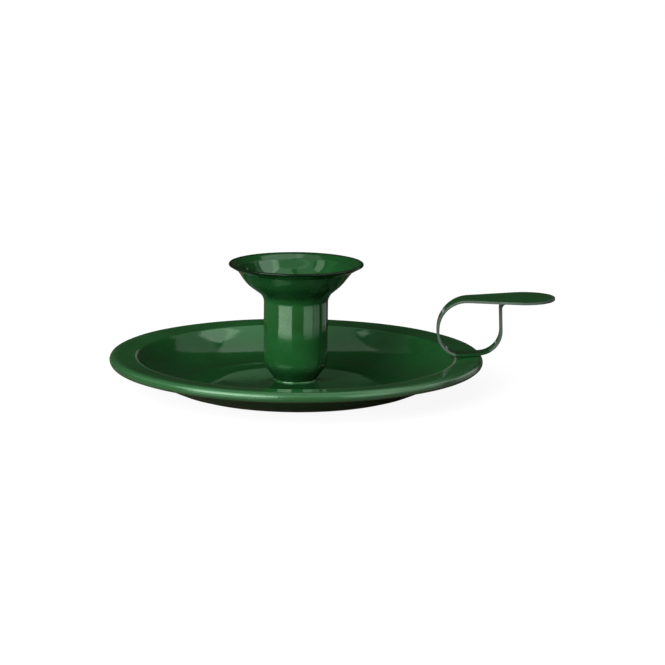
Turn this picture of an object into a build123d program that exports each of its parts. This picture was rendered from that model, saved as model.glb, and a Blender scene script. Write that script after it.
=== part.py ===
from build123d import *
from math import atan2, cos, radians, sin, tan
import os

# Chamberstick with a finger loop: three formed pieces of enamelled sheet steel and what joins them.
# Millimetres, +Z up. The origin is on the table, under the middle of the socket. The handle is at +X.

# Enamelled sheet
STEEL = 0.7               # bare sheet
ENAMEL = 0.15             # fired coat on each face
SHEET = STEEL + 2 * ENAMEL

# Dish
DISH_D = 150.0            # across the rolled rim
RIM_HEIGHT = 14.65        # table to the middle of the roll's top
ROLL_D = 4.3              # across the roll
ROLL_TURN = 255.0         # degrees that the edge is curled through
FLANGE_WIDTH = 8.9        # crease to the middle of the roll
FLANGE_SLOPE = 5.0        # degrees, down toward the crease
CREASE_BEND = 1.1         # bend at the crease, along the middle of the sheet
WALL_ANGLE = 50.0         # degrees from the table, at the crease
WALL_BEND = 28.0          # long bend between wall and floor, kept shorter than the wall
FOOT_RING = 1.2           # level width that stands on the table, between the bends beside it
FLOOR_RISE = 2.65         # how far the middle of the floor is pushed up
RISE_RUN = 7.5            # run of the slope from the foot ring up to the level middle
FLOOR_BEND = 10.0         # soft bends at both ends of that slope

# Candle socket
BORE_D = 23.7             # for a candle of 22 to 23 mm
SOCKET_HEIGHT = 47.7      # foot to lip
FOOT_D = 15.6             # across the foot, at the middle of the sheet
FOOT_ANGLE = 36.0         # degrees from upright, from the foot out to the tube
SHOULDER_BEND = 5.5       # bend between the foot and the tube
BOWL_HEIGHT = 13.1        # drip bowl, neck to lip
LIP_D = 54.2              # across the lip
LIP_WIDTH = 3.4           # out-turned edge of the bowl, measured outward
LIP_ANGLE = 31.0          # degrees from level
BOWL_BELLY = 1.3          # how far the bowl swells out from a straight cone
BELLY_PLACE = 0.58        # where on the bowl, as a share of the way up
NECK_BEND = 5.5
BELLY_BEND = 13.5
LIP_BEND = 1.2

# Rivet through the socket's foot, and the fused ring around the foot
RIVET_D = 4.0
RIVET_CLEARANCE = 0.1     # around the shank, on each side
RIVET_HEAD_D = 8.0
RIVET_HEAD = 1.6          # height of the head inside the socket
RIVET_TAIL_D = 6.4
RIVET_TAIL = 1.0          # height of the closed end under the dish
RING_LEG = 1.0            # how far the fused ring reaches along the floor and up the foot
RING_INSIDE = 0.2         # how far it runs in under the foot

# Handle strip
STRIP_WIDTH = 6.8
LOOP_HEIGHT = 22.5        # top of the roll to the underside of the thumb rest
LOOP_INWARD = 6.6         # how far the loop reaches in over the dish, from the crease
LOOP_OUTWARD = 8.0        # how far it reaches out past the rim
STRAND = 1.6              # straight length of the inner strand
UPPER_SHARE = 0.54        # upper bend's share of the inner strand's height
OUTER_LEAN = 0.8          # how far the outer strand leans in at its top
LEAF_WIDTH = 24.8         # thumb rest, at its widest
LEAF_REACH = 21.2         # outer strand to the tip of the thumb rest
TAB_LENGTH = 7.5          # foot of the strip, under the thumb rest
TAB_BEND = 2.4
WELD_GAP = 0.15           # between two welded sheets
WELD_D = 3.0

# Heights, radii and directions worked out from the sizes above
half_sheet = SHEET / 2
floor_top = FLOOR_RISE + SHEET
foot_radius = FOOT_D / 2
tube_middle = BORE_D / 2 + half_sheet
lip_height = floor_top + SOCKET_HEIGHT
rivet_hole = RIVET_D / 2 + RIVET_CLEARANCE
roll_bend = (ROLL_D - SHEET) / 2
roll_middle = Vector((DISH_D - ROLL_D) / 2, RIM_HEIGHT - ROLL_D / 2)
flange_out = Vector(cos(radians(FLANGE_SLOPE)), sin(radians(FLANGE_SLOPE)))
flange_up = Vector(-flange_out.Y, flange_out.X)
crease_radius = roll_middle.X - FLANGE_WIDTH
strip_above = SHEET + WELD_GAP


def over_flange(radius, above):
    """The point at this radius and this far above the middle of the flange's sheet, as radius and height."""
    start = roll_middle + flange_up * (roll_bend + above)
    return start + flange_out * ((radius - start.X) / flange_out.X)


def sheet_face(line):
    """The outline of a sheet bent along this line, which is the middle of its thickness."""
    return make_face(offset(Wire(line.edges()), half_sheet, side=Side.BOTH).edges())


def turned(profile):
    """A profile, drawn as radius and height, turned around the upright axis."""
    return revolve(Plane.XZ * profile, axis=Axis.Z)


def rivet_bore():
    """What the rivet's hole takes out of the sheets."""
    return Cylinder(rivet_hole, 4 * lip_height)


def make_dish():
    crease = over_flange(crease_radius, 0)
    wall_turn = radians(WALL_ANGLE)
    wall_run = (crease.Y - half_sheet) / tan(wall_turn)
    wall_corner = Vector(crease.X - wall_run, half_sheet)
    bend_reach = min(WALL_BEND * tan(wall_turn / 2), 0.9 * wall_run / cos(wall_turn))
    rise_reach = FLOOR_BEND * tan(atan2(FLOOR_RISE, RISE_RUN) / 2)
    ring_inside = wall_corner.X - bend_reach - FOOT_RING - rise_reach
    pan = FilletPolyline(
        (RIVET_D / 2, floor_top - half_sheet),
        (ring_inside - RISE_RUN, floor_top - half_sheet),
        (ring_inside, half_sheet),
        wall_corner,
        crease,
        roll_middle + flange_up * roll_bend,
        radius=[FLOOR_BEND, FLOOR_BEND, bend_reach / tan(wall_turn / 2), CREASE_BEND],
    )
    outer_turn = 90 + FLANGE_SLOPE
    roll_over = CenterArc(roll_middle, roll_bend, outer_turn, -outer_turn)
    roll_under = CenterArc(roll_middle, roll_bend, 0, outer_turn - ROLL_TURN)
    return turned(sheet_face(pan + roll_over + roll_under)) - rivet_bore()


def make_socket():
    foot = Vector(foot_radius, floor_top + half_sheet)
    shoulder = Vector(tube_middle, foot.Y + (tube_middle - foot.X) / tan(radians(FOOT_ANGLE)))
    lip = Vector(LIP_D / 2 - half_sheet, lip_height - half_sheet)
    neck = Vector(tube_middle, lip_height - BOWL_HEIGHT)
    kink = lip - Vector(LIP_WIDTH, LIP_WIDTH * tan(radians(LIP_ANGLE)))
    bowl = kink - neck
    outward = Vector(bowl.Y, -bowl.X).normalized()
    belly = neck + bowl * BELLY_PLACE + outward * BOWL_BELLY
    line = FilletPolyline(
        (RIVET_D / 2, foot.Y),
        foot,
        shoulder,
        neck,
        belly,
        kink,
        lip,
        radius=[SHEET, SHOULDER_BEND, NECK_BEND, BELLY_BEND, LIP_BEND],
    )
    return turned(sheet_face(line)) - rivet_bore()


def make_rivet():
    head_under = floor_top + SHEET
    tail_over = floor_top - SHEET
    head_top = (0, head_under + RIVET_HEAD)
    tail_end = (0, tail_over - RIVET_TAIL)
    head_edge = (RIVET_HEAD_D / 2, head_under)
    tail_edge = (RIVET_TAIL_D / 2, tail_over)
    head = TangentArc(head_top, head_edge, tangent=(1, 0))
    shank = Polyline(head_edge, (RIVET_D / 2, head_under), (RIVET_D / 2, tail_over), tail_edge)
    tail = TangentArc(tail_end, tail_edge, tangent=(1, 0))
    return turned(make_face((head + shank + tail + Line(tail_end, head_top)).edges()))


def make_foot_fillet(socket):
    slope = radians(FOOT_ANGLE)
    edge = foot_radius + half_sheet * (1 / cos(slope) - tan(slope))
    reach = Vector(edge + RING_LEG, floor_top)
    top = Vector(edge, floor_top) + Vector(sin(slope), cos(slope)) * RING_LEG
    in_wall = top + (top - reach).normalized() * half_sheet / 2
    inside = edge - RING_INSIDE
    outline = Polyline(reach, in_wall, (inside, in_wall.Y), (inside, floor_top), close=True)
    return turned(make_face(outline.edges())) - socket


def make_handle():
    inner_x = crease_radius - LOOP_INWARD
    outer_x = DISH_D / 2 + LOOP_OUTWARD
    leaf_z = RIM_HEIGHT + LOOP_HEIGHT + half_sheet
    inner_low = over_flange(inner_x, strip_above)
    outer_low = over_flange(outer_x, strip_above)
    inner_high = Vector(inner_x, leaf_z)
    outer_high = Vector(outer_x - OUTER_LEAN, leaf_z - strip_above)
    leaf_middle = Vector(outer_x + LEAF_REACH - LEAF_WIDTH / 2, leaf_z)
    rise = leaf_z - inner_low.Y - STRAND
    upper_bend = rise * UPPER_SHARE
    lower_bend = rise * (1 - UPPER_SHARE) / tan(radians(45 + FLANGE_SLOPE / 2))
    loop = FilletPolyline(
        outer_high + Vector(TAB_LENGTH, 0),
        outer_high,
        outer_low,
        inner_low,
        inner_high,
        leaf_middle,
        radius=[TAB_BEND, lower_bend, lower_bend, upper_bend],
    )
    leaf_line = FilletPolyline(
        inner_high - Vector(0, upper_bend + STRAND / 2),
        inner_high,
        leaf_middle + Vector(LEAF_WIDTH, 0),
        radius=upper_bend,
    )
    strip = extrude(Plane.XZ * sheet_face(loop), STRIP_WIDTH / 2, both=True)
    leaf = extrude(Plane.XZ * sheet_face(leaf_line), LEAF_WIDTH / 2, both=True)
    round_end = Pos(leaf_middle.X, 0) * Circle(LEAF_WIDTH / 2)
    narrow_end = Pos(inner_x, 0) * Rectangle(2 * SHEET, STRIP_WIDTH)
    outline = make_hull(round_end.edges() + narrow_end.edges())
    return strip + (leaf & extrude(outline, 2 * leaf_z))


def weld_at(place, up):
    """A spot of weld that reaches into both sheets."""
    return Plane(origin=place, z_dir=up) * Cylinder(WELD_D / 2, WELD_GAP + SHEET)


def make_seat_welds(dish, handle):
    welds = []
    for share in (0.28, 0.72):
        spot = over_flange(crease_radius + share * FLANGE_WIDTH, strip_above / 2)
        weld = weld_at((spot.X, 0, spot.Y), (flange_up.X, 0, flange_up.Y))
        welds.append(weld - dish - handle)
    return Compound(welds)


def make_thumb_weld(handle):
    tab_x = DISH_D / 2 + LOOP_OUTWARD - OUTER_LEAN + (TAB_LENGTH + TAB_BEND) / 2
    middle_z = RIM_HEIGHT + LOOP_HEIGHT - WELD_GAP / 2
    return weld_at((tab_x, 0, middle_z), (0, 0, 1)) - handle


dish = make_dish()
socket = make_socket()
handle = make_handle()
pieces = {
    "dish": dish,
    "candle_socket": socket,
    "handle_strip": handle,
    "socket_rivet": make_rivet(),
    "foot_fillet": make_foot_fillet(socket),
    "seat_welds": make_seat_welds(dish, handle),
    "thumb_rest_weld": make_thumb_weld(handle),
}
os.makedirs("parts", exist_ok=True)
for name, shape in pieces.items():
    export_step(shape, f"parts/{name}.step")
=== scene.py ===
import bpy
from math import asin, atan2, ceil, cos, pi, radians, sin, tan
from mathutils import Matrix, Vector


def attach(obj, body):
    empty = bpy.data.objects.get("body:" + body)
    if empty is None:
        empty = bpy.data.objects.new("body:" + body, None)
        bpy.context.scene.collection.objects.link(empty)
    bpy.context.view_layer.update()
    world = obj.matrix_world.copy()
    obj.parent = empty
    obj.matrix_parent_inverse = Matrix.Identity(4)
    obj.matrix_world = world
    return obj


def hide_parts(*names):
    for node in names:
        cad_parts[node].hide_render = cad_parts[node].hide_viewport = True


# Chamberstick with a finger loop, in glossy green enamel on sheet steel.
# Sizes are in millimetres here and become metres where a mesh is made. The handle is at +X.

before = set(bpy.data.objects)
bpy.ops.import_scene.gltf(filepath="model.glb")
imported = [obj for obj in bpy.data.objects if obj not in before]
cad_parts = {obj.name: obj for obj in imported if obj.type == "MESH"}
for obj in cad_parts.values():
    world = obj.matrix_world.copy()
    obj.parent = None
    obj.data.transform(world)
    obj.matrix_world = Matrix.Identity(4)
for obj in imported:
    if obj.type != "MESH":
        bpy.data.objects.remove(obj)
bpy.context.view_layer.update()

MM = 0.001

# Enamelled sheet
SHEET = 1.0               # steel and both coats of enamel
EDGE_ROUND = 0.42         # how far the melted coat rounds a cut edge
EDGE_STEPS = 3            # steps of that rounding
EDGE_ANGLE = 50.0         # degrees, a corner that turns by more than this is a cut edge

# Dish
DISH_D = 150.0            # across the rolled rim
RIM_HEIGHT = 14.65        # table to the top of the roll
ROLL_D = 4.3              # across the roll
ROLL_TURN = 255.0         # degrees that the edge is curled through
FLANGE_WIDTH = 8.9        # crease to the middle of the roll
FLANGE_SLOPE = 5.0        # degrees, down toward the crease
CREASE_BEND = 1.1
WALL_ANGLE = 50.0         # degrees from the table, at the crease
WALL_BEND = 28.0          # long bend between wall and floor
FOOT_RING = 1.2           # level width that stands on the table
FLOOR_RISE = 2.65         # how far the middle of the floor is pushed up
RISE_RUN = 7.5            # run of the slope up to the level middle
FLOOR_BEND = 10.0
FLOOR_LEAN = 1.7          # degrees that the level middle leans back, as it was pressed
RIM_STRETCH = 0.7         # how far the rim is drawn out toward the handle
GLINT_WEAR_WIDTH = 0.8         # width of the worn line, with its painted glint, outside the crease
GLINT_WEAR_FULL = 0.7           # share of that width before the line fades
GLINT_WEAR_END = 8.0            # how far behind the dish's middle the worn line and its painted glint end
GLINT_WEAR_FADE = 6.0           # length over which it fades there

# Candle socket
BORE_D = 23.7
SOCKET_HEIGHT = 47.7      # foot to lip
FOOT_D = 15.6             # across the foot, at the middle of the sheet
FOOT_ANGLE = 36.0         # degrees from upright
SHOULDER_BEND = 5.5
BOWL_HEIGHT = 13.1        # drip bowl, neck to lip
LIP_D = 54.2
LIP_WIDTH = 3.4           # out-turned edge of the bowl
LIP_ANGLE = 31.0          # degrees from level
LIP_BACK = 0.03           # keeps the rounded edge of the lip inside its full width
BOWL_BELLY = 1.3          # how far the bowl swells out from a straight cone
BELLY_PLACE = 0.58        # share of the way from neck to lip
BOWL_DENT = 1.0           # how far the bowl is pushed in on the handle's side
SOCKET_LEAN = 1.0         # degrees that the socket leans back, as the floor under it does
NECK_BEND = 5.5
BELLY_BEND = 13.5
LIP_BEND = 1.2
RIVET_HOLE = 2.1          # radius

# Ring of pooled enamel around the socket's foot
POOL_LEG = 1.1            # how far it reaches along the floor and up the foot
POOL_INSIDE = 0.2         # how far it runs in under the foot

# Handle strip
STRIP_WIDTH = 6.8
LOOP_HEIGHT = 22.5        # top of the roll to the underside of the thumb rest
LOOP_INWARD = 6.6         # how far the loop reaches in over the dish
LOOP_OUTWARD = 8.0        # how far it reaches out past the rim
STRAND = 1.6              # straight length of the inner strand
UPPER_SHARE = 0.54        # upper bend's share of the inner strand's height
OUTER_LEAN = 0.8          # how far the outer strand leans in at its top
LEAF_WIDTH = 24.8         # thumb rest, at its widest
LEAF_REACH = 21.2         # outer strand to the tip of the thumb rest
TIP_BACK = 0.02           # keeps the unevenness of the tip inside that reach
LEAF_TILT = 1.1           # degrees that the thumb rest rises toward its tip
LEAF_BOW = 58.0           # degrees of the round end that the last row of the mesh follows
LEAST_BOW = 0.02          # radians, for the rows that are almost straight
TAB_LENGTH = 7.5          # foot of the outer strand, under the thumb rest
TAB_BEND = 2.4
WELD_GAP = 0.15
SEAT_RISE = 2.0           # the strip lies on the flange up to this far above the rim
SEAT_WEAR = 0.25          # share of the edges' wear there; one less this is the seat's painted shade

# Coat of enamel: where it is thin, where shade, sheen and glint are painted, and the sizes of its patterns
WELL_SHADE = 0.75          # share of the painted shade at the bottom of the well
FOOT_SHADE = 0.8           # share of the painted shade at the socket's foot
FOOT_SHADE_TOP = 3.0       # how far above the shoulder it ends
FOOT_SHADE_FADE = 6.0      # height over which it fades
BOWL_SHADE = 0.35          # share of the painted shade on the drip bowl
BOWL_SHADE_START = 3.0     # how far below the neck it starts
BOWL_SHADE_FADE = 4.0      # height over which it comes in
ROLL_COAT_START = 0.9     # thin coat and painted sheen begin this share of the bend inside the roll's middle
THIN_ROUGHNESS = 0.13     # roughness that the thin coat adds
DISH_EDGE = 1.0           # how far the coat is drawn back from a cut edge
SOCKET_EDGE = 1.4
STRIP_EDGE = 0.9
RAGGED_SIZE = 1.6         # waves of the line that it is drawn back to
SPECK_SIZE = 1.1          # pale specks on the cut edges
SPECK_FADE = 0.08         # softness of their outlines
HAZE_SIZE = 9.0           # patches of duller gloss
PEEL_SIZE = 3.5           # orange-peel waves
PEEL_DEPTH = 0.2          # and how deep they are
WELD_SCALE_SIZE = 0.8     # scale on a spot weld

# Mesh
RUN_STEP = 2.6            # longest straight step along a profile
BEND_STEP = 8.0           # degrees of a bend in one step
TURN_STEPS = 240          # steps around a turned piece
STRIP_STEPS = 15          # points across the strip
CALM_FADE = 4.0           # height over which the unevenness comes in
SMALLEST_STEP = 1e-4      # points closer than this are one

# Studio, in metres and degrees
LAMP_DISTANCE = 0.9
LAMP_AIM = 0.015          # height that the lamps are turned to
FLOOR_HALF = 8.0
FLOOR_DROP = 0.0002       # keeps the floor and the card just under the object
CARD_HALF = 1.2
CARD_DROP = 0.0001
CAMERA_PLACE = (0.01484, -0.93107, 0.20758)
CAMERA_DOWN = 11.2086     # below level
CAMERA_ROLL = 0.63083
CAMERA_LENS = 127.443     # mm
CAMERA_SENSOR = 36.0      # mm wide

# Places worked out from the sizes above
half_sheet = SHEET / 2
floor_top = FLOOR_RISE + SHEET
tube_middle = BORE_D / 2 + half_sheet
lip_height = floor_top + SOCKET_HEIGHT
roll_bend = (ROLL_D - SHEET) / 2
roll_middle = Vector(((DISH_D - ROLL_D) / 2, RIM_HEIGHT - ROLL_D / 2))
flange_out = Vector((cos(radians(FLANGE_SLOPE)), sin(radians(FLANGE_SLOPE))))
flange_up = Vector((-flange_out.y, flange_out.x))
crease_radius = roll_middle.x - FLANGE_WIDTH


def over_flange(radius, above):
    """The point at this radius and this far above the middle of the flange's sheet, as radius and height."""
    start = roll_middle + flange_up * (roll_bend + above)
    return start + flange_out * ((radius - start.x) / flange_out.x)


def within(value):
    """The value, kept between 0 and 1."""
    return min(1.0, max(0.0, value))


# Lines that the sheets follow

def arc(centre, start, turn):
    """Points from start, turned around a centre by this angle in radians."""
    steps = max(2, ceil(abs(turn) / radians(BEND_STEP)))
    arm = start - centre
    return [centre + Matrix.Rotation(turn * i / steps, 2) @ arm for i in range(steps + 1)]


def bent_line(corners, bends):
    """Points along straight runs with a round bend at each inner corner."""
    points = [Vector(corners[0])]
    for before, corner, after, bend in zip(corners, corners[1:], corners[2:], bends):
        corner = Vector(corner)
        back = (Vector(before) - corner).normalized()
        onward = (Vector(after) - corner).normalized()
        half = back.angle(onward) / 2
        centre = corner + (back + onward).normalized() * (bend / sin(half))
        side = 1 if back.x * onward.y - back.y * onward.x < 0 else -1
        points += arc(centre, corner + back * (bend / tan(half)), side * (pi - 2 * half))
    points.append(Vector(corners[-1]))
    return points


def divided(points):
    """The same line with its long runs cut into shorter steps."""
    line = [points[0]]
    for start, end in zip(points, points[1:]):
        steps = max(1, ceil((end - start).length / RUN_STEP))
        line += [start.lerp(end, i / steps) for i in range(1, steps + 1)]
    return line


def without_doubles(points):
    """The same line with one point where several share a place."""
    line = [points[0]]
    for point in points[1:]:
        if (point - line[-1]).length > SMALLEST_STEP:
            line.append(point)
    return line


def edge_marks(points, reach):
    """1 at the last point of a line, fading to 0 at this distance from it."""
    marks = []
    left = sum((b - a).length for a, b in zip(points, points[1:]))
    for i, point in enumerate(points):
        if i:
            left -= (point - points[i - 1]).length
        marks.append(max(0.0, 1 - left / reach))
    return marks


# Nodes

def add_node(tree, kind, inputs=None, **settings):
    """Adds a node, sets its settings, and links or sets its inputs."""
    node = tree.nodes.new(kind)
    for name, value in settings.items():
        setattr(node, name, value)
    for key, value in (inputs or {}).items():
        if isinstance(value, bpy.types.NodeSocket):
            tree.links.new(value, node.inputs[key])
        else:
            node.inputs[key].default_value = value
    return node


SHAPE_SIZES = {
    "Steps": "NodeSocketInt",
    "Ripple": "NodeSocketFloat",
    "Ripple Size": "NodeSocketFloat",
    "Calm Below": "NodeSocketFloat",
    "Seed": "NodeSocketFloat",
}


def new_tree(name):
    """An empty geometry tree with a geometry input, the named sizes and a material."""
    tree = bpy.data.node_groups.new(name, "GeometryNodeTree")
    tree.interface.new_socket("Geometry", in_out="INPUT", socket_type="NodeSocketGeometry")
    for size, kind in SHAPE_SIZES.items():
        tree.interface.new_socket(size, in_out="INPUT", socket_type=kind)
    tree.interface.new_socket("Material", in_out="INPUT", socket_type="NodeSocketMaterial")
    tree.interface.new_socket("Geometry", in_out="OUTPUT", socket_type="NodeSocketGeometry")
    return tree, tree.nodes.new("NodeGroupInput").outputs


def finish_tree(tree, geometry, given):
    """Hammered unevenness along the normals, none near the table, then the end that each tree shares."""
    waves = add_node(tree, "ShaderNodeMath", {0: 1.0, 1: given["Ripple Size"]}, operation="DIVIDE")
    noise = add_node(tree, "ShaderNodeTexNoise",
                     {"W": given["Seed"], "Scale": waves.outputs[0], "Detail": 1.0}, noise_dimensions="4D")
    place = add_node(tree, "GeometryNodeInputPosition")
    height = add_node(tree, "ShaderNodeSeparateXYZ", {0: place.outputs[0]})
    calm_top = add_node(tree, "ShaderNodeMath", {0: given["Calm Below"], 1: CALM_FADE * MM}, operation="ADD")
    free = add_node(tree, "ShaderNodeMapRange",
                    {"Value": height.outputs[2], "From Min": given["Calm Below"],
                     "From Max": calm_top.outputs[0]}, interpolation_type="SMOOTHSTEP")
    depth = add_node(tree, "ShaderNodeMath", {0: noise.outputs[0], 1: given["Ripple"]}, operation="MULTIPLY")
    depth = add_node(tree, "ShaderNodeMath", {0: depth.outputs[0], 1: free.outputs[0]}, operation="MULTIPLY")
    normal = add_node(tree, "GeometryNodeInputNormal")
    push = add_node(tree, "ShaderNodeVectorMath", {0: normal.outputs[0], "Scale": depth.outputs[0]},
                    operation="SCALE")
    moved = add_node(tree, "GeometryNodeSetPosition", {"Geometry": geometry, "Offset": push.outputs[0]})
    smooth = add_node(tree, "GeometryNodeSetShadeSmooth", {"Geometry": moved.outputs[0]})
    real = add_node(tree, "GeometryNodeRealizeInstances", {"Geometry": smooth.outputs[0]})
    coated = add_node(tree, "GeometryNodeSetMaterial",
                      {"Geometry": real.outputs[0], "Material": given["Material"]})
    add_node(tree, "NodeGroupOutput", {0: coated.outputs[0]})


def turned_tree():
    """Turns a line, drawn as radius and height, around the upright axis."""
    tree, given = new_tree("turned_sheet")
    line = add_node(tree, "GeometryNodeMeshToCurve", {"Mesh": given["Geometry"]})
    circle = add_node(tree, "GeometryNodeCurvePrimitiveCircle", {"Resolution": given["Steps"], "Radius": 1.0})
    place = add_node(tree, "GeometryNodeInputPosition")
    line = add_node(tree, "GeometryNodeStoreNamedAttribute",
                    {"Geometry": line.outputs[0], "Name": "on_line", "Value": place.outputs[0]},
                    data_type="FLOAT_VECTOR")
    circle = add_node(tree, "GeometryNodeStoreNamedAttribute",
                      {"Geometry": circle.outputs[0], "Name": "turn", "Value": place.outputs[0]},
                      data_type="FLOAT_VECTOR")
    swept = add_node(tree, "GeometryNodeCurveToMesh",
                     {"Curve": circle.outputs[0], "Profile Curve": line.outputs[0]})
    on_line = add_node(tree, "GeometryNodeInputNamedAttribute", {"Name": "on_line"}, data_type="FLOAT_VECTOR")
    turn = add_node(tree, "GeometryNodeInputNamedAttribute", {"Name": "turn"}, data_type="FLOAT_VECTOR")
    parts = add_node(tree, "ShaderNodeSeparateXYZ", {0: on_line.outputs[0]})
    around = add_node(tree, "ShaderNodeVectorMath", {0: turn.outputs[0], "Scale": parts.outputs[0]},
                      operation="SCALE")
    up = add_node(tree, "ShaderNodeCombineXYZ", {2: parts.outputs[2]})
    turned = add_node(tree, "ShaderNodeVectorMath", {0: around.outputs[0], 1: up.outputs[0]})
    placed = add_node(tree, "GeometryNodeSetPosition",
                      {"Geometry": swept.outputs[0], "Position": turned.outputs[0]})
    finish_tree(tree, placed.outputs[0], given)
    return tree


def strip_tree():
    """Lays a strip along a line. Each point says how wide the strip is there and how far its row is bowed."""
    tree, given = new_tree("bent_strip")
    place = add_node(tree, "GeometryNodeInputPosition")
    tangent = add_node(tree, "GeometryNodeInputTangent")
    line = add_node(tree, "GeometryNodeMeshToCurve", {"Mesh": given["Geometry"]})
    for name, value in (("on_line", place), ("forward", tangent)):
        line = add_node(tree, "GeometryNodeStoreNamedAttribute",
                        {"Geometry": line.outputs[0], "Name": name, "Value": value.outputs[0]},
                        data_type="FLOAT_VECTOR")

    # The row's points stand closer together toward both edges
    row = add_node(tree, "GeometryNodeCurvePrimitiveLine", {"Start": (-1, 0, 0), "End": (1, 0, 0)})
    row = add_node(tree, "GeometryNodeResampleCurve", {"Curve": row.outputs[0], "Count": given["Steps"]})
    parts = add_node(tree, "ShaderNodeSeparateXYZ", {0: place.outputs[0]})
    quarter = add_node(tree, "ShaderNodeMath", {0: parts.outputs[0], 1: pi / 2}, operation="MULTIPLY")
    closer = add_node(tree, "ShaderNodeMath", {0: quarter.outputs[0]}, operation="SINE")
    row = add_node(tree, "GeometryNodeStoreNamedAttribute",
                   {"Geometry": row.outputs[0], "Name": "across", "Value": closer.outputs[0]},
                   data_type="FLOAT")
    swept = add_node(tree, "GeometryNodeCurveToMesh",
                     {"Curve": line.outputs[0], "Profile Curve": row.outputs[0]})
    read = {}
    for name in ("on_line", "forward"):
        read[name] = add_node(tree, "GeometryNodeInputNamedAttribute", {"Name": name},
                              data_type="FLOAT_VECTOR").outputs[0]
    for name in ("across", "half_width", "bow", "edge_near", "free"):
        read[name] = add_node(tree, "GeometryNodeInputNamedAttribute", {"Name": name},
                              data_type="FLOAT").outputs[0]

    # Each row is an arc that ends at the strip's edges and bows forward in its middle
    bow_sine = add_node(tree, "ShaderNodeMath", {0: read["bow"]}, operation="SINE")
    bow_cosine = add_node(tree, "ShaderNodeMath", {0: read["bow"]}, operation="COSINE")
    radius = add_node(tree, "ShaderNodeMath", {0: read["half_width"], 1: bow_sine.outputs[0]},
                      operation="DIVIDE")
    angle = add_node(tree, "ShaderNodeMath", {0: read["across"], 1: read["bow"]}, operation="MULTIPLY")
    sine = add_node(tree, "ShaderNodeMath", {0: angle.outputs[0]}, operation="SINE")
    cosine = add_node(tree, "ShaderNodeMath", {0: angle.outputs[0]}, operation="COSINE")
    ahead = add_node(tree, "ShaderNodeMath", {0: cosine.outputs[0], 1: bow_cosine.outputs[0]},
                     operation="SUBTRACT")
    ahead = add_node(tree, "ShaderNodeMath", {0: ahead.outputs[0], 1: radius.outputs[0]},
                     operation="MULTIPLY")
    aside = add_node(tree, "ShaderNodeMath", {0: sine.outputs[0], 1: radius.outputs[0]}, operation="MULTIPLY")
    sideways = add_node(tree, "ShaderNodeCombineXYZ", {1: aside.outputs[0]})
    along = add_node(tree, "ShaderNodeVectorMath", {0: read["forward"], "Scale": ahead.outputs[0]},
                     operation="SCALE")
    spot = add_node(tree, "ShaderNodeVectorMath", {0: read["on_line"], 1: sideways.outputs[0]})
    spot = add_node(tree, "ShaderNodeVectorMath", {0: spot.outputs[0], 1: along.outputs[0]})
    placed = add_node(tree, "GeometryNodeSetPosition",
                      {"Geometry": swept.outputs[0], "Position": spot.outputs[0]})

    # Marks the cut edges along both sides, and joins them with the mark at the line's end
    gap = add_node(tree, "ShaderNodeMath", {0: read["across"]}, operation="ABSOLUTE")
    gap = add_node(tree, "ShaderNodeMath", {0: 1.0, 1: gap.outputs[0]}, operation="SUBTRACT")
    gap = add_node(tree, "ShaderNodeMath", {0: gap.outputs[0], 1: read["half_width"]}, operation="MULTIPLY")
    near = add_node(tree, "ShaderNodeMapRange",
                    {"Value": gap.outputs[0], "From Min": 0.0, "From Max": STRIP_EDGE * MM,
                     "To Min": 1.0, "To Max": 0.0})
    near = add_node(tree, "ShaderNodeMath", {0: near.outputs[0], 1: read["edge_near"]}, operation="MAXIMUM")
    near = add_node(tree, "ShaderNodeMath", {0: near.outputs[0], 1: read["free"]}, operation="MULTIPLY")
    marked = add_node(tree, "GeometryNodeStoreNamedAttribute",
                      {"Geometry": placed.outputs[0], "Name": "edge_near", "Value": near.outputs[0]},
                      data_type="FLOAT")
    finish_tree(tree, marked.outputs[0], given)
    return tree


def shaped(name, points, marks, tree, sizes, material, closed=False):
    """A line of points in radius and height, shaped by a tree, as a plain mesh.
    An open line is the middle of a sheet, and a closed one is the outline of a solid ring."""
    mesh = bpy.data.meshes.new(name)
    spots = [(point.x * MM, 0, point.y * MM) for point in points]
    edges = [(i, i + 1) for i in range(len(spots) - 1)]
    if closed:
        edges.append((len(spots) - 1, 0))
    mesh.from_pydata(spots, edges, [])
    for mark, values in marks.items():
        attribute = mesh.attributes.new(mark, "FLOAT", "POINT")
        attribute.data.foreach_set("value", values)
    host = bpy.data.objects.new(name + "_line", mesh)
    bpy.context.scene.collection.objects.link(host)
    shape = host.modifiers.new("shape", "NODES")
    shape.node_group = tree
    values = dict(sizes, Material=material)
    for socket in tree.interface.items_tree:
        if socket.in_out == "INPUT" and socket.name in values:
            shape[socket.identifier] = values[socket.name]
    if not closed:
        wall = host.modifiers.new("wall", "SOLIDIFY")
        wall.thickness = SHEET * MM
        wall.offset = 0
        wall.use_even_offset = True
        edge = host.modifiers.new("edge", "BEVEL")
        edge.width = EDGE_ROUND * MM
        edge.segments = EDGE_STEPS
        edge.limit_method = "ANGLE"
        edge.angle_limit = radians(EDGE_ANGLE)
    bpy.context.view_layer.update()
    depsgraph = bpy.context.evaluated_depsgraph_get()
    result = bpy.data.meshes.new_from_object(host.evaluated_get(depsgraph), preserve_all_data_layers=True,
                                             depsgraph=depsgraph)
    bpy.data.objects.remove(host)
    for mark in ("on_line", "turn", "forward", "across", "half_width", "bow", "free"):
        if mark in result.attributes:
            result.attributes.remove(result.attributes[mark])
    piece = bpy.data.objects.new(name, result)
    bpy.context.scene.collection.objects.link(piece)
    return piece


# Materials

def linear(hex_colour):
    """A colour written as sRGB hex, as linear numbers."""
    levels = [int(hex_colour[i:i + 2], 16) / 255 for i in (1, 3, 5)]
    return tuple(v / 12.92 if v <= 0.04045 else ((v + 0.055) / 1.055) ** 2.4 for v in levels) + (1.0,)


def per_metre(size):
    """How often a pattern of this size in millimetres repeats in a metre."""
    return 1 / (size * MM)


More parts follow.
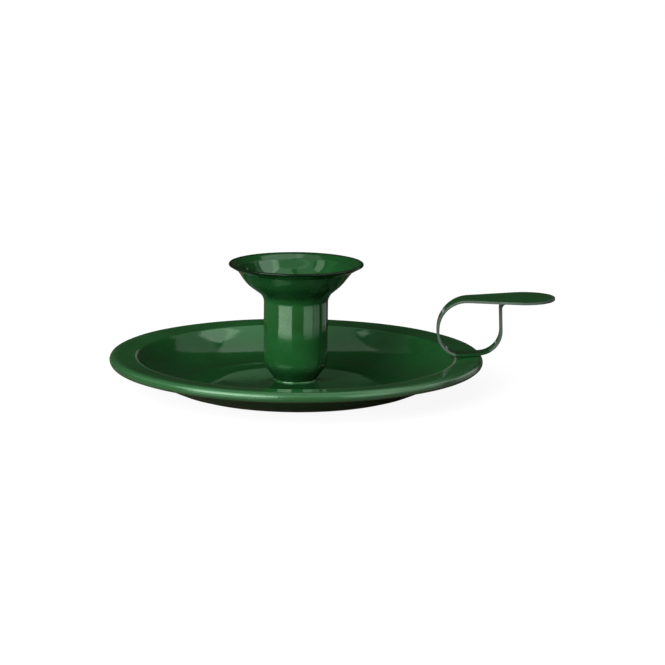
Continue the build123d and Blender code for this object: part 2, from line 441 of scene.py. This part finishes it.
def new_material(name):
    """A material with nodes, and its shader."""
    material = bpy.data.materials.new(name)
    material.use_nodes = True
    return material, material.node_tree.nodes["Principled BSDF"]


def green_enamel(name, cloud_size, edge_colour, speck_level):
    """Vitreous enamel, fired on steel: a glassy green that is cloudy in depth, with a slight orange peel.
    Painted shade darkens it in the well, at the socket's foot, on the drip bowl and on the handle's seat.
    Where the coat is thin it is duller, more uneven and paler, with a painted sheen.
    A pale worn line carries a painted glint.
    It is drawn back from the cut edges, which are dull and carry pale specks, fewer at a higher level."""
    material, shader = new_material(name)
    tree = material.node_tree
    place = add_node(tree, "ShaderNodeTexCoord").outputs["Object"]
    drawn = add_node(tree, "ShaderNodeMapping",
                     {"Vector": place, "Scale": tuple(per_metre(size) for size in cloud_size)})
    clouds = add_node(tree, "ShaderNodeTexNoise", {"Vector": drawn.outputs[0], "Scale": 1.0, "Detail": 3.0})
    depth = add_node(tree, "ShaderNodeMapRange",
                     {"Value": clouds.outputs["Fac"], "From Min": 0.3, "From Max": 0.7})
    body = add_node(tree, "ShaderNodeMix", {0: depth.outputs[0], 6: linear("#17471f"), 7: linear("#1d5829")},
                    data_type="RGBA")
    shares = {}
    # Paler thin coat with a painted sheen, painted shade, and a pale worn line with a painted glint
    for mark, colour in (("thin_coat_and_sheen", "#285630"), ("painted_shade", "#0f2f15"), ("glint_and_wear", "#737a6a")):
        shares[mark] = add_node(tree, "ShaderNodeAttribute", attribute_name=mark).outputs["Fac"]
        body = add_node(tree, "ShaderNodeMix", {0: shares[mark], 6: body.outputs[2], 7: linear(colour)},
                        data_type="RGBA")

    # Cut edges
    edge = add_node(tree, "ShaderNodeAttribute", attribute_name="edge_near").outputs["Fac"]
    ragged = add_node(tree, "ShaderNodeTexNoise",
                      {"Vector": place, "Scale": per_metre(RAGGED_SIZE), "Detail": 3.0})
    worn = add_node(tree, "ShaderNodeMath", {0: edge, 1: ragged.outputs["Fac"]}, operation="ADD")
    thin = add_node(tree, "ShaderNodeMapRange",
                    {"Value": worn.outputs[0], "From Min": 0.85, "From Max": 1.35})
    coat = add_node(tree, "ShaderNodeMix", {0: thin.outputs[0], 6: body.outputs[2], 7: linear(edge_colour)},
                    data_type="RGBA")
    chips = add_node(tree, "ShaderNodeTexNoise",
                     {"Vector": place, "Scale": per_metre(SPECK_SIZE), "Detail": 1.0})
    chipped = add_node(tree, "ShaderNodeMath", {0: edge, 1: chips.outputs["Fac"]}, operation="MULTIPLY")
    bare = add_node(tree, "ShaderNodeMapRange",
                    {"Value": chipped.outputs[0], "From Min": speck_level,
                     "From Max": speck_level + SPECK_FADE})
    coat = add_node(tree, "ShaderNodeMix", {0: bare.outputs[0], 6: coat.outputs[2], 7: linear("#8d988e")},
                    data_type="RGBA")
    tree.links.new(coat.outputs[2], shader.inputs["Base Color"])
    dull = add_node(tree, "ShaderNodeMapRange", {"Value": thin.outputs[0], "To Min": 0.5, "To Max": 0.12})
    tree.links.new(dull.outputs[0], shader.inputs["Specular IOR Level"])

    # Gloss
    haze = add_node(tree, "ShaderNodeTexNoise",
                    {"Vector": place, "Scale": per_metre(HAZE_SIZE), "Detail": 4.0})
    gloss = add_node(tree, "ShaderNodeMapRange",
                     {"Value": haze.outputs["Fac"], "From Min": 0.35, "From Max": 0.7,
                      "To Min": 0.065, "To Max": 0.14})
    gloss = add_node(tree, "ShaderNodeMath", {0: shares["thin_coat_and_sheen"], 1: THIN_ROUGHNESS, 2: gloss.outputs[0]},
                     operation="MULTIPLY_ADD")
    tree.links.new(gloss.outputs[0], shader.inputs["Roughness"])
    peel = add_node(tree, "ShaderNodeTexNoise",
                    {"Vector": place, "Scale": per_metre(PEEL_SIZE), "Detail": 2.0})
    uneven = add_node(tree, "ShaderNodeMapRange",
                      {"Value": shares["thin_coat_and_sheen"], "To Min": 0.12, "To Max": 0.4})
    bump = add_node(tree, "ShaderNodeBump",
                    {"Strength": uneven.outputs[0], "Distance": PEEL_DEPTH * MM,
                     "Height": peel.outputs["Fac"]})
    tree.links.new(bump.outputs[0], shader.inputs["Normal"])
    shader.inputs["IOR"].default_value = 1.6
    shader.inputs["Specular Tint"].default_value = linear("#d9ffe1")
    return material


def weld_steel():
    """Scaled steel of a spot weld: dark grey with a brown heat tint, dull."""
    material, shader = new_material("scaled_weld_steel")
    tree = material.node_tree
    place = add_node(tree, "ShaderNodeTexCoord").outputs["Object"]
    scale = add_node(tree, "ShaderNodeTexNoise",
                     {"Vector": place, "Scale": per_metre(WELD_SCALE_SIZE), "Detail": 4.0})
    tint = add_node(tree, "ShaderNodeMix",
                    {0: scale.outputs["Fac"], 6: linear("#3b3a3a"), 7: linear("#5c5048")}, data_type="RGBA")
    tree.links.new(tint.outputs[2], shader.inputs["Base Color"])
    dull = add_node(tree, "ShaderNodeMapRange", {"Value": scale.outputs["Fac"], "To Min": 0.4, "To Max": 0.7})
    tree.links.new(dull.outputs[0], shader.inputs["Roughness"])
    shader.inputs["Metallic"].default_value = 0.9
    return material


# Pieces

def make_dish(enamel, tree):
    """Drawn saucer: raised floor, long bend, wall, crease, flange and the rolled rim."""
    crease = over_flange(crease_radius, 0)
    wall_turn = radians(WALL_ANGLE)
    wall_corner = Vector((crease.x - (crease.y - half_sheet) / tan(wall_turn), half_sheet))
    rise_reach = FLOOR_BEND * tan(atan2(FLOOR_RISE, RISE_RUN) / 2)
    ring_inside = wall_corner.x - WALL_BEND * tan(wall_turn / 2) - FOOT_RING - rise_reach
    corners = [
        (RIVET_HOLE, floor_top - half_sheet),
        (ring_inside - RISE_RUN, floor_top - half_sheet),
        (ring_inside, half_sheet),
        wall_corner,
        crease,
        over_flange(crease_radius + GLINT_WEAR_WIDTH, 0),
        roll_middle + flange_up * roll_bend,
    ]
    pan = bent_line(corners, [FLOOR_BEND, FLOOR_BEND, WALL_BEND, CREASE_BEND, 0])
    roll = arc(roll_middle, roll_middle + flange_up * roll_bend, -radians(ROLL_TURN))
    points = divided(without_doubles(pan + roll))
    # Painted sheen on the thin-coated roll, painted shade deep in the well, painted glint on the worn line
    marks = {
        "edge_near": edge_marks(points, DISH_EDGE),
        "thin_coat_and_sheen": [within((point.x - roll_middle.x) / roll_bend + ROLL_COAT_START) for point in points],
        "painted_shade": [WELL_SHADE * max(0.0, 1 - point.y / crease.y) for point in points],
        "glint_and_wear": [1.0 if 0 < point.x - crease.x < GLINT_WEAR_FULL * GLINT_WEAR_WIDTH else 0.0 for point in points],
    }
    sizes = {"Steps": TURN_STEPS, "Seed": 3.0,
             "Ripple": -0.22 * MM, "Ripple Size": 19 * MM, "Calm Below": 1.5 * MM}
    dish = shaped("dish_body", points, marks, tree, sizes, enamel)

    # The level middle leans, the rim is drawn out, and the worn line with its painted glint shows along the
    # front alone
    lean = tan(radians(FLOOR_LEAN))
    glint_and_wear = dish.data.attributes["glint_and_wear"]
    for vertex in dish.data.vertices:
        radius = vertex.co.xy.length / MM
        outside_pool = within((radius - FOOT_D / 2) / POOL_LEG - 1)
        inside_rise = within((ring_inside - radius) / RISE_RUN)
        vertex.co.z -= lean * vertex.co.y * outside_pool * inside_rise
        vertex.co.x += RIM_STRETCH * MM * max(0.0, vertex.co.x / MM / DISH_D * 2) ** 3
        glint_and_wear.data[vertex.index].value *= within((GLINT_WEAR_END - vertex.co.y / MM) / GLINT_WEAR_FADE)
    return dish


def make_socket(enamel, tree):
    """Drawn cup: coned foot, straight tube, flared drip bowl and out-turned lip."""
    foot = Vector((FOOT_D / 2, floor_top + half_sheet))
    shoulder = Vector((tube_middle, foot.y + (tube_middle - foot.x) / tan(radians(FOOT_ANGLE))))
    lip = Vector((LIP_D / 2 - half_sheet, lip_height - half_sheet))
    neck = Vector((tube_middle, lip_height - BOWL_HEIGHT))
    kink = lip - Vector((LIP_WIDTH, LIP_WIDTH * tan(radians(LIP_ANGLE))))
    bowl = kink - neck
    outward = Vector((bowl.y, -bowl.x)).normalized()
    belly = neck + bowl * BELLY_PLACE + outward * BOWL_BELLY
    lip_end = lip + (lip - kink).normalized() * (half_sheet - LIP_BACK)
    corners = [(RIVET_HOLE, foot.y), foot, shoulder, neck, belly, kink, lip_end]
    bends = [SHEET, SHOULDER_BEND, NECK_BEND, BELLY_BEND, LIP_BEND]
    points = divided(without_doubles(bent_line(corners, bends)))
    # Painted shade at the foot and on the drip bowl, inside and out
    painted_shade = []
    for point in points:
        foot_shade = FOOT_SHADE * within((shoulder.y + FOOT_SHADE_TOP - point.y) / FOOT_SHADE_FADE)
        bowl_shade = BOWL_SHADE * within((point.y - neck.y + BOWL_SHADE_START) / BOWL_SHADE_FADE)
        painted_shade.append(max(foot_shade, bowl_shade))
    marks = {"edge_near": edge_marks(points, SOCKET_EDGE), "painted_shade": painted_shade}
    sizes = {"Steps": TURN_STEPS, "Seed": 8.0,
             "Ripple": -0.17 * MM, "Ripple Size": 14 * MM, "Calm Below": 6.0 * MM}
    socket = shaped("socket_cup", points, marks, tree, sizes, enamel)

    # The bowl is pushed in on the handle's side, and the whole socket leans back from its foot
    lean = tan(radians(SOCKET_LEAN))
    for vertex in socket.data.vertices:
        up = within((vertex.co.z / MM - neck.y) / (BOWL_HEIGHT - SHEET))
        side = max(0.0, vertex.co.x / vertex.co.xy.length)
        vertex.co.x -= BOWL_DENT * MM * sin(pi * up) * side ** 2
        vertex.co.y += lean * max(0.0, vertex.co.z - foot.y * MM)
    return socket


def make_pool(enamel, tree):
    """Enamel that pooled in the corner between the socket's foot and the floor. Its face is hollow."""
    slope = radians(FOOT_ANGLE)
    up_foot = Vector((sin(slope), cos(slope)))
    into_foot = Vector((-cos(slope), sin(slope)))
    corner = Vector((FOOT_D / 2 + half_sheet * (1 / cos(slope) - tan(slope)), floor_top))
    on_floor = corner + Vector((POOL_LEG, 0))
    on_foot = corner + up_foot * POOL_LEG
    face = bent_line([on_floor, corner, on_foot], [POOL_LEG * tan((pi / 2 - slope) / 2)])
    points = without_doubles(face + [on_foot + into_foot * half_sheet / 2, corner - Vector((POOL_INSIDE, 0))])
    sizes = {"Steps": TURN_STEPS, "Seed": 2.0,
             "Ripple": 0.3 * MM, "Ripple Size": 5 * MM, "Calm Below": 0.0}
    return shaped("pooled_ring", points, {"edge_near": [0.0] * len(points)}, tree, sizes, enamel, closed=True)


def make_handle(enamel, tree):
    """Bent strip: tab, outer strand, seat on the flange, inner strand and the leaf of the thumb rest."""
    strip_above = SHEET + WELD_GAP
    inner_x = crease_radius - LOOP_INWARD
    outer_x = DISH_D / 2 + LOOP_OUTWARD
    leaf_z = RIM_HEIGHT + LOOP_HEIGHT + half_sheet
    tilt = tan(radians(LEAF_TILT))
    inner_low = over_flange(inner_x, strip_above)
    outer_low = over_flange(outer_x, strip_above)
    inner_high = Vector((inner_x, leaf_z - (outer_x - inner_x) * tilt))
    outer_high = Vector((outer_x - OUTER_LEAN, leaf_z - strip_above))
    rise = leaf_z - inner_low.y - STRAND
    upper_bend = rise * UPPER_SHARE
    lower_bend = rise * (1 - UPPER_SHARE) / tan(radians(45 + FLANGE_SLOPE / 2))

    # The leaf's sides run straight from the strip to the round end
    leaf_radius = LEAF_WIDTH / 2
    leaf_middle = outer_x + LEAF_REACH - TIP_BACK - leaf_radius
    run = leaf_middle - inner_x
    half_strip = STRIP_WIDTH / 2
    slope = asin(leaf_radius / Vector((run, half_strip)).length) - atan2(half_strip, run)
    touch = leaf_middle - leaf_radius * sin(slope)
    last = leaf_middle + leaf_radius * cos(radians(LEAF_BOW))
    leaf_end = Vector((last, leaf_z + (last - outer_x) * tilt))
    corners = [outer_high + Vector((TAB_LENGTH, 0)), outer_high, outer_low, inner_low, inner_high, leaf_end]
    points = divided(without_doubles(bent_line(corners, [TAB_BEND, lower_bend, lower_bend, upper_bend])))

    # The tab at the start of the line is as high as the leaf, but isn't part of it
    on_leaf = [point.y > inner_high.y - upper_bend for point in points]
    first_low = on_leaf.index(False)
    on_leaf[:first_low] = [False] * first_low
    bow_start = inner_x + upper_bend
    widths = []
    bows = []
    free = []
    for point, leaf in zip(points, on_leaf):
        half = half_strip
        if leaf and point.x > touch:
            half = (leaf_radius ** 2 - (point.x - leaf_middle) ** 2) ** 0.5
        elif leaf:
            half = half_strip + (point.x - inner_x) * tan(slope)
        share = max(0.0, (point.x - bow_start) / (last - bow_start)) if leaf else 0.0
        on_flange = abs(point.x - roll_middle.x) < FLANGE_WIDTH and point.y < RIM_HEIGHT + SEAT_RISE
        widths.append(half * MM)
        bows.append(max(LEAST_BOW, radians(LEAF_BOW) * share))
        free.append(SEAT_WEAR if on_flange else 1.0)
    # The seat on the flange, where the strip lies on the rim, gets painted shade
    marks = {
        "half_width": widths,
        "bow": bows,
        "free": free,
        "edge_near": edge_marks(points, STRIP_EDGE),
        "painted_shade": [1 - share for share in free],
    }
    sizes = {"Steps": STRIP_STEPS, "Seed": 5.0,
             "Ripple": -0.06 * MM, "Ripple Size": 14 * MM, "Calm Below": 18 * MM}
    return shaped("handle_band", points, marks, tree, sizes, enamel)


# The strip's coat is drawn out along its length. Its cut edges are grey from thin coat and a painted
# highlight
enamel = green_enamel("green_vitreous_enamel", cloud_size=(22, 22, 22), edge_colour="#0d1a0f",
                      speck_level=0.74)
strip_enamel = green_enamel("green_strip_enamel", cloud_size=(40, 2.5, 12), edge_colour="#505c54",
                            speck_level=0.9)
steel = weld_steel()
turned = turned_tree()
strip = strip_tree()
new_pieces = {
    "dish": make_dish(enamel, turned),
    "candle_socket": make_socket(enamel, turned),
    "foot_fillet": make_pool(enamel, turned),
    "handle_strip": make_handle(strip_enamel, strip),
}
for node, piece in new_pieces.items():
    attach(piece, "root")
    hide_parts(node)

# Small joining pieces keep their shape and get a material
kept_nodes = {"socket_rivet": enamel, "seat_welds": steel, "thumb_rest_weld": steel}
for node, material in kept_nodes.items():
    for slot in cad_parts[node].material_slots:
        slot.material = material


# Studio

def flat_stage(name, half_size, height, material):
    """A level square that belongs to the studio."""
    mesh = bpy.data.meshes.new(name)
    corners = [(-1, -1), (1, -1), (1, 1), (-1, 1)]
    mesh.from_pydata([(x * half_size, y * half_size, height) for x, y in corners], [], [(0, 1, 2, 3)])
    mesh.materials.append(material)
    flat = bpy.data.objects.new(name, mesh)
    bpy.context.scene.collection.objects.link(flat)
    return flat


def pale_table():
    """Matt table top. Its grey keeps the object's shadow, and a glow makes it white.
    Only the camera, gloss and glass see the glow, which grows a little toward the distance."""
    material, shader = new_material("pale_table")
    tree = material.node_tree
    shader.inputs["Base Color"].default_value = linear("#6f6f6f")
    shader.inputs["Roughness"].default_value = 0.9
    shader.inputs["Specular IOR Level"].default_value = 0.0
    shader.inputs["Emission Color"].default_value = linear("#ffffff")
    place = add_node(tree, "ShaderNodeTexCoord").outputs["Object"]
    away = add_node(tree, "ShaderNodeVectorMath", {0: place}, operation="LENGTH")
    glow = add_node(tree, "ShaderNodeMapRange",
                    {"Value": away.outputs["Value"], "From Min": 0.15, "From Max": 1.6,
                     "To Min": 0.92, "To Max": 1.0}, interpolation_type="SMOOTHSTEP")
    path = add_node(tree, "ShaderNodeLightPath").outputs
    seen = add_node(tree, "ShaderNodeMath", {0: path["Is Camera Ray"], 1: path["Is Glossy Ray"]},
                    operation="MAXIMUM")
    seen = add_node(tree, "ShaderNodeMath", {0: seen.outputs[0], 1: path["Is Transmission Ray"]},
                    operation="MAXIMUM")
    glow = add_node(tree, "ShaderNodeMath", {0: seen.outputs[0], 1: glow.outputs[0]}, operation="MULTIPLY")
    tree.links.new(glow.outputs[0], shader.inputs["Emission Strength"])
    return material


def dark_card():
    """Glossy card, darker than the table, that only the gloss of the enamel sees.
    It mirrors the softboxes and keeps the edges of the object dark."""
    material, shader = new_material("dark_card")
    shader.inputs["Base Color"].default_value = linear("#867e6c")
    shader.inputs["Roughness"].default_value = 0.06
    shader.inputs["IOR"].default_value = 1.9
    return material


def softbox(name, around, rise, width, height, brightness, shades=False):
    """A lamp turned to the object, with its angles in degrees. Around is counted from the camera's side
    to the right, rise is up from the table, and width and height are as seen from the object.
    Brightness 1 looks white. The lamps that shade the object stay out of its gloss,
    and the others show in the gloss alone."""
    turn = radians(around)
    lift = radians(rise)
    away = Vector((sin(turn) * cos(lift), -cos(turn) * cos(lift), sin(lift)))
    across = Vector((cos(turn), sin(turn), 0))
    lamp = bpy.data.lights.new(name, "AREA")
    lamp.shape = "RECTANGLE"
    lamp.size = 2 * LAMP_DISTANCE * tan(radians(width) / 2)
    lamp.size_y = 2 * LAMP_DISTANCE * tan(radians(height) / 2)
    lamp.energy = brightness * pi * lamp.size * lamp.size_y
    box = bpy.data.objects.new(name, lamp)
    axes = Matrix((across, away.cross(across), away)).transposed().to_4x4()
    box.matrix_world = Matrix.Translation(away * LAMP_DISTANCE + Vector((0, 0, LAMP_AIM))) @ axes
    box.visible_camera = False
    box.visible_diffuse = shades
    box.visible_glossy = not shades
    bpy.context.scene.collection.objects.link(box)


def make_camera():
    """A camera that looks slightly down at the front of the object."""
    lens = bpy.data.cameras.new("camera")
    lens.lens = CAMERA_LENS
    lens.sensor_width = CAMERA_SENSOR
    lens.clip_start = 0.01
    camera = bpy.data.objects.new("camera", lens)
    aim = Matrix.Rotation(radians(90 - CAMERA_DOWN), 4, "X") @ Matrix.Rotation(radians(CAMERA_ROLL), 4, "Z")
    camera.matrix_world = Matrix.Translation(CAMERA_PLACE) @ aim
    bpy.context.scene.collection.objects.link(camera)
    bpy.context.scene.camera = camera


# Neither casts a shadow, and gloss alone sees the card, which lies over the floor
floor = flat_stage("floor", FLOOR_HALF, -FLOOR_DROP, pale_table())
floor.visible_shadow = False
card = flat_stage("card", CARD_HALF, -CARD_DROP, dark_card())
card.visible_camera = False
card.visible_diffuse = False
card.visible_transmission = False
card.visible_shadow = False

# Lamps that shade the object
softbox("key", -31, 26, 44, 34, 10.2, shades=True)
softbox("fill", 0, 90, 100, 100, 0.4, shades=True)

# Panels that show in the gloss alone, named for where they stand
softbox("key_side", -68, 33, 18, 22, 2.6)
softbox("key_low", -38, 19.5, 50, 30, 8.2)
softbox("key_high", -40, 42, 28, 18, 4.8)
softbox("left_flank", -76, 41, 14, 39, 1.6)
softbox("left", -105, 25, 28, 22, 0.6)
softbox("front", 5, 36, 36, 36, 1.0)
softbox("front_high", 5, 62, 44, 14, 0.45)
softbox("right_low", 46, 8, 34, 16, 3.4)
softbox("right", 46, 29, 32, 26, 2.2)
softbox("right_far", 81, 20, 30, 40, 1.7)
softbox("back_low", 124, 12, 32, 20, 1.2)
softbox("back_right", 102, 28, 22, 12, 2.0)
softbox("over_right", 84, 52, 32, 20, 2.0)
softbox("over_back", 126, 46, 24, 20, 0.4)
softbox("over", 108, 74, 48, 28, 1.05)
softbox("over_left", -90, 76, 50, 26, 0.5)
softbox("left_back", -118, 50, 30, 20, 0.12)

make_camera()
world = bpy.data.worlds.new("studio")
world.use_nodes = True
world.node_tree.nodes["Background"].inputs["Color"].default_value = linear("#2d2c28")
bpy.context.scene.world = world
bpy.context.scene.view_settings.view_transform = "Standard"
